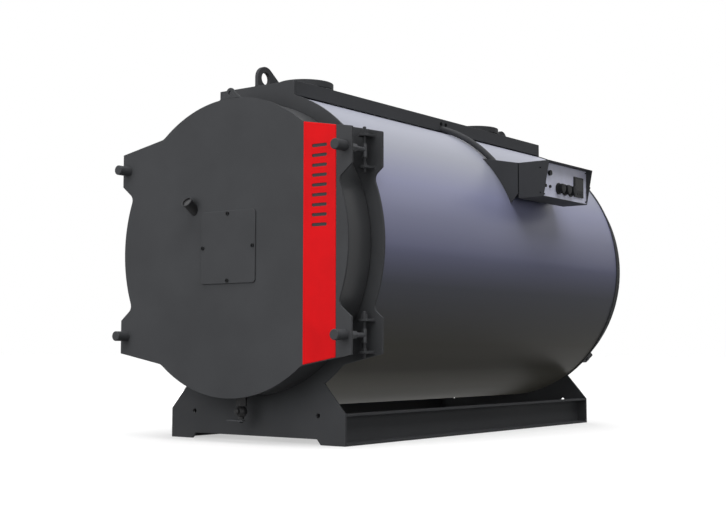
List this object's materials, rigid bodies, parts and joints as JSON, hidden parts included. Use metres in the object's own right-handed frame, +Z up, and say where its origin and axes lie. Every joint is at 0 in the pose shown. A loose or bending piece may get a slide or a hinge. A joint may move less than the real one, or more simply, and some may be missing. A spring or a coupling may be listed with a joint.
{
  "type": "industrial hot water boiler",
  "caption": "Horizontal fire-tube boiler on a channel base with a hinged round door, top flanged nozzles, walkway, side control console and drain valve.",
  "frame": {"origin": "on the floor under the middle of the part's overall box", "axes": "+Z up, +Y from the door to the flue end, +X to the right as seen from the door"},
  "size_m": [1.68, 2.859, 1.798],
  "materials": {
    "dark_paint": "satin dark grey paint",
    "red_paint": "satin red paint",
    "jacket_sheet": "smooth metal sheet",
    "refractory": "cast refractory, matt",
    "sealing_rope": "woven glass rope",
    "panel_face": "pale lavender film",
    "black_plastic": "black moulded plastic",
    "bare_steel": "dull scaled steel",
    "valve_metal": "dark coated brass",
    "zinc_steel": "dark zinc plated steel"
  },
  "bodies": {
    "boiler": {"base_beam_left": "dark_paint", "base_beam_right": "dark_paint", "cable_conduit": "dark_paint", "console_bracket": "dark_paint", "console_housing": "dark_paint", "control_panel": "panel_face", "controller_unit": "black_plastic", "flue_spigot": "dark_paint", "front_lifting_lug": "dark_paint", "front_nozzle": "dark_paint", "front_plate": "dark_paint", "furnace_tube": "bare_steel", "hinge_pins_left": "dark_paint", "hinge_pins_right": "dark_paint", "hinge_tabs_left": "dark_paint", "hinge_tabs_right": "dark_paint", "jacket": "jacket_sheet", "panel_fittings": "black_plastic", "rear_lifting_lug": "dark_paint", "rear_nozzle": "dark_paint", "rear_plate": "dark_paint", "smokebox_back": "dark_paint", "smokebox_clamps": "dark_paint", "smokebox_drum": "dark_paint", "swing_bolts": "zinc_steel", "tube_plate": "bare_steel", "walkway": "dark_paint"},
    "door": {"door_face": "dark_paint", "door_eye": "dark_paint", "door_drum": "dark_paint", "door_lining": "refractory", "door_rope": "sealing_rope", "blanking_plate": "dark_paint", "trim_strip": "red_paint", "sight_tube": "dark_paint", "clamp_nuts": "dark_paint", "hinge_bolts": "zinc_steel", "drain_valve": "valve_metal"},
    "drain_lever": {"drain_lever": "valve_metal"},
    "knob_1": {"control_knob_1": "black_plastic"},
    "knob_2": {"control_knob_2": "black_plastic"},
    "knob_3": {"control_knob_3": "black_plastic"}
  },
  "joints": [
    {"name": "door_hinge", "type": "hinge", "parent": "boiler", "child": "door", "pos_m": [0.597, -1.2115, 0.906], "axis": [0, 0, 1], "range_deg": [0, 100]},
    {"name": "drain_lever_turn", "type": "hinge", "parent": "door", "child": "drain_lever", "pos_m": [-0.083, -1.2575, 0.1], "axis": [0, 0, 1], "range_deg": [0, 90]},
    {"name": "knob_1_turn", "type": "hinge", "parent": "boiler", "child": "knob_1", "pos_m": [0.802, 0.21443, 1.274], "axis": [1, 0, 0], "range_deg": [0, 270]},
    {"name": "knob_2_turn", "type": "hinge", "parent": "boiler", "child": "knob_2", "pos_m": [0.802, 0.28093, 1.274], "axis": [1, 0, 0], "range_deg": [0, 270]},
    {"name": "knob_3_turn", "type": "hinge", "parent": "boiler", "child": "knob_3", "pos_m": [0.802, 0.34743, 1.274], "axis": [1, 0, 0], "range_deg": [0, 270]}
  ]
}
